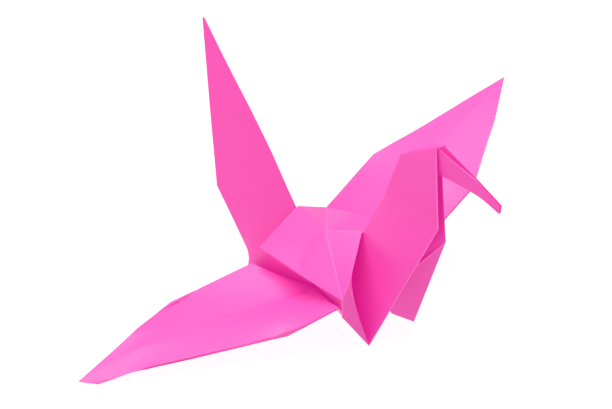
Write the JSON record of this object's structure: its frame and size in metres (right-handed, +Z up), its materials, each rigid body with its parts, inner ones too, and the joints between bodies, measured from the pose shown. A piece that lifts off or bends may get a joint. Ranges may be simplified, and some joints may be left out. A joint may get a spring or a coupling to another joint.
{
  "type": "origami crane",
  "caption": "Folded paper crane for table display, with a puffed hollow body, an upright tail and neck, a bent beak and broad wings.",
  "frame": {"origin": "on the floor, under the middle of the crane's bounding box", "axes": "+X towards the neck and beak, +Y towards the raised far wing, +Z up"},
  "size_m": [0.0964, 0.1384, 0.064],
  "materials": {
    "paper": "matte"
  },
  "bodies": {
    "root": {"folded_crane": "paper"}
  },
  "joints": []
}
